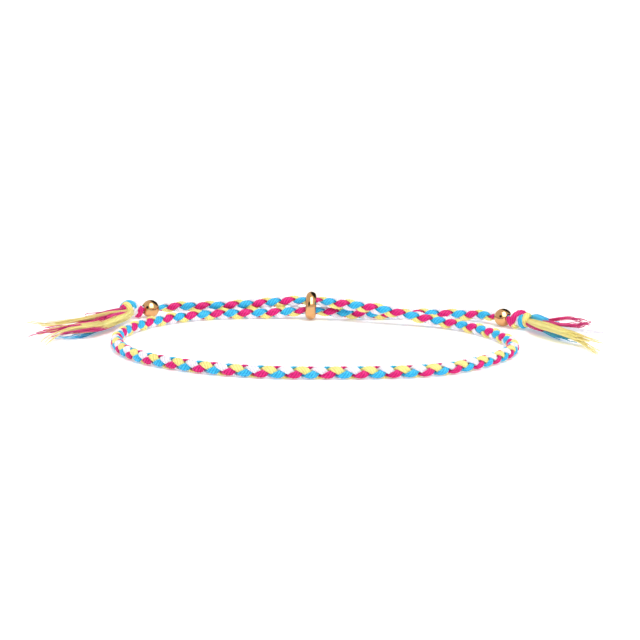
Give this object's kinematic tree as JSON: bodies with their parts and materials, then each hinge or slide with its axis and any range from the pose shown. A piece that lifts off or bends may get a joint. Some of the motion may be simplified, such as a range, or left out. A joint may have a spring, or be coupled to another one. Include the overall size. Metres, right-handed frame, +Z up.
{
  "type": "braided cord bracelet",
  "caption": "Adjustable bracelet of a round four-strand braid in pink, blue, yellow and white, with a metal slider ring, end beads, knots and tassels.",
  "frame": {"origin": "on the surface that the bracelet lies on, below the middle of its outline", "axes": "+X to the right along the width of the loop, +Y from the front of the loop towards the slider, +Z up through the wrist opening"},
  "size_m": [0.0946, 0.052, 0.0048],
  "materials": {
    "pink_yarn": "glossy twisted cotton yarn",
    "blue_yarn": "glossy twisted cotton yarn",
    "yellow_yarn": "glossy twisted cotton yarn",
    "white_yarn": "glossy twisted cotton yarn",
    "rose_gold": "polished rose-gold plating"
  },
  "bodies": {
    "root": {"strand_pink": "pink_yarn", "strand_blue": "blue_yarn", "strand_yellow": "yellow_yarn", "strand_white": "white_yarn", "slider_ring": "rose_gold", "bead_left": "rose_gold", "bead_right": "rose_gold", "knot_left": "pink_yarn", "knot_right": "pink_yarn", "tassel_left": "yellow_yarn", "tassel_right": "yellow_yarn"}
  },
  "joints": []
}
